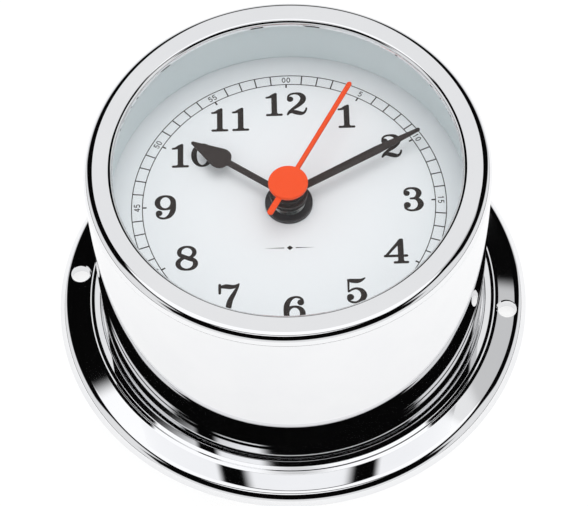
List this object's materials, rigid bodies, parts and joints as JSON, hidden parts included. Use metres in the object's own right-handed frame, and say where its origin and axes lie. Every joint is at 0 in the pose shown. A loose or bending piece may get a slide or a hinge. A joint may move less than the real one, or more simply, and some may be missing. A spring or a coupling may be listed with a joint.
{
  "type": "ship's deck clock",
  "caption": "Round chromed deck clock on a flanged base ring, with a white dial, three hands under flat glass and a quartz movement behind.",
  "frame": {"origin": "on the arbor axis, in the plane of the base ring's underside", "axes": "+Z out through the glass along the arbor; +Y towards twelve on the dial; +X towards three"},
  "size_m": [0.12, 0.12, 0.062],
  "materials": {
    "chrome_plate": "polished",
    "steel": "turned",
    "clear_glass": "polished",
    "black_rubber": "matte",
    "grey_paint": "satin",
    "white_enamel": "satin",
    "black_finish": "satin",
    "nickel_plate": "satin",
    "black_plastic": "moulded",
    "natural_plastic": "moulded",
    "soft_iron": "stamped",
    "copper_wire": "enamelled",
    "green_board": "solder mask",
    "black_resin": "glossy",
    "battery_jacket": "printed foil",
    "orange_paint": "satin",
    "gear_plastic": "moulded",
    "magnet_ferrite": "sintered",
    "brass_gear": "satin",
    "hand_black": "satin"
  },
  "bodies": {
    "base": {"base_ring": "chrome_plate"},
    "case": {"case_body": "chrome_plate", "bezel": "chrome_plate", "bayonet_pins": "steel", "glass": "clear_glass", "glass_gasket": "black_rubber", "dial_spacer": "grey_paint", "dial": "white_enamel", "dial_washer": "black_finish", "hub_nut": "black_finish", "threaded_bushing": "nickel_plate", "movement_pad": "black_rubber", "movement_front": "black_plastic", "movement_back": "black_plastic", "middle_plate": "natural_plastic", "movement_screws": "steel", "motion_post": "steel", "stator": "soft_iron", "coil_core": "soft_iron", "coil_bobbin": "natural_plastic", "coil_winding": "copper_wire", "circuit_board": "green_board", "driver_chip": "black_resin", "quartz_crystal": "nickel_plate", "positive_contact": "nickel_plate", "negative_contact": "nickel_plate"},
    "battery": {"battery_cell": "battery_jacket"},
    "second": {"second_hand": "orange_paint", "seconds_arbor": "steel", "seconds_wheel": "gear_plastic"},
    "intermediate": {"intermediate_wheel": "gear_plastic", "intermediate_pinion": "steel"},
    "rotor": {"rotor_magnet": "magnet_ferrite", "rotor_pinion": "steel"},
    "third": {"third_wheel": "gear_plastic", "third_pinion": "steel"},
    "centre": {"centre_wheel": "brass_gear"},
    "minute": {"minute_hand": "hand_black", "cannon_pinion": "brass_gear"},
    "motion": {"motion_wheel": "gear_plastic"},
    "hour": {"hour_hand": "hand_black", "hour_wheel": "gear_plastic"},
    "setting": {"setting_shaft": "steel", "setting_knob": "black_plastic"}
  },
  "joints": [
    {"name": "case_twist", "type": "hinge", "parent": "base", "child": "case", "pos_m": [0, 0, 0.0065], "axis": [0, 0, 1], "range_deg": [-7.4, 17.6]},
    {"name": "battery_slide", "type": "slide", "parent": "case", "child": "battery", "axis": [0, 0, -1], "range_m": [0, 0.0165]},
    {"name": "second_spin", "type": "hinge", "parent": "case", "child": "second", "pos_m": [0, 0, 0.0529], "axis": [0, 0, -1], "continuous": true},
    {"name": "intermediate_spin", "type": "hinge", "parent": "case", "child": "intermediate", "pos_m": [-0.0104, 0, 0.035], "axis": [0, 0, -1], "continuous": true},
    {"name": "rotor_spin", "type": "hinge", "parent": "case", "child": "rotor", "pos_m": [-0.01761, 0.00721, 0.035], "axis": [0, 0, -1], "continuous": true},
    {"name": "third_spin", "type": "hinge", "parent": "case", "child": "third", "pos_m": [0.0051, 0.00883, 0.035], "axis": [0, 0, -1], "continuous": true},
    {"name": "centre_spin", "type": "hinge", "parent": "case", "child": "centre", "pos_m": [0, 0, 0.035], "axis": [0, 0, -1], "continuous": true},
    {"name": "minute_spin", "type": "hinge", "parent": "case", "child": "minute", "pos_m": [0, 0, 0.0484], "axis": [0, 0, -1], "continuous": true},
    {"name": "motion_spin", "type": "hinge", "parent": "case", "child": "motion", "pos_m": [0.00761, -0.00355, 0.035], "axis": [0, 0, -1], "continuous": true},
    {"name": "hour_spin", "type": "hinge", "parent": "case", "child": "hour", "pos_m": [0, 0, 0.0474], "axis": [0, 0, -1], "continuous": true},
    {"name": "setting_spin", "type": "hinge", "parent": "case", "child": "setting", "pos_m": [0.01523, 0, 0.0245], "axis": [0, 0, -1], "continuous": true}
  ],
  "couplings": [
    {"joint": "intermediate_spin", "follows": "second_spin", "ratio": -4},
    {"joint": "rotor_spin", "follows": "second_spin", "ratio": 30},
    {"joint": "third_spin", "follows": "second_spin", "ratio": -0.13333},
    {"joint": "centre_spin", "follows": "second_spin", "ratio": 0.016667},
    {"joint": "motion_spin", "follows": "minute_spin", "ratio": -0.33333},
    {"joint": "hour_spin", "follows": "minute_spin", "ratio": 0.083333},
    {"joint": "setting_spin", "follows": "minute_spin", "ratio": 1}
  ]
}
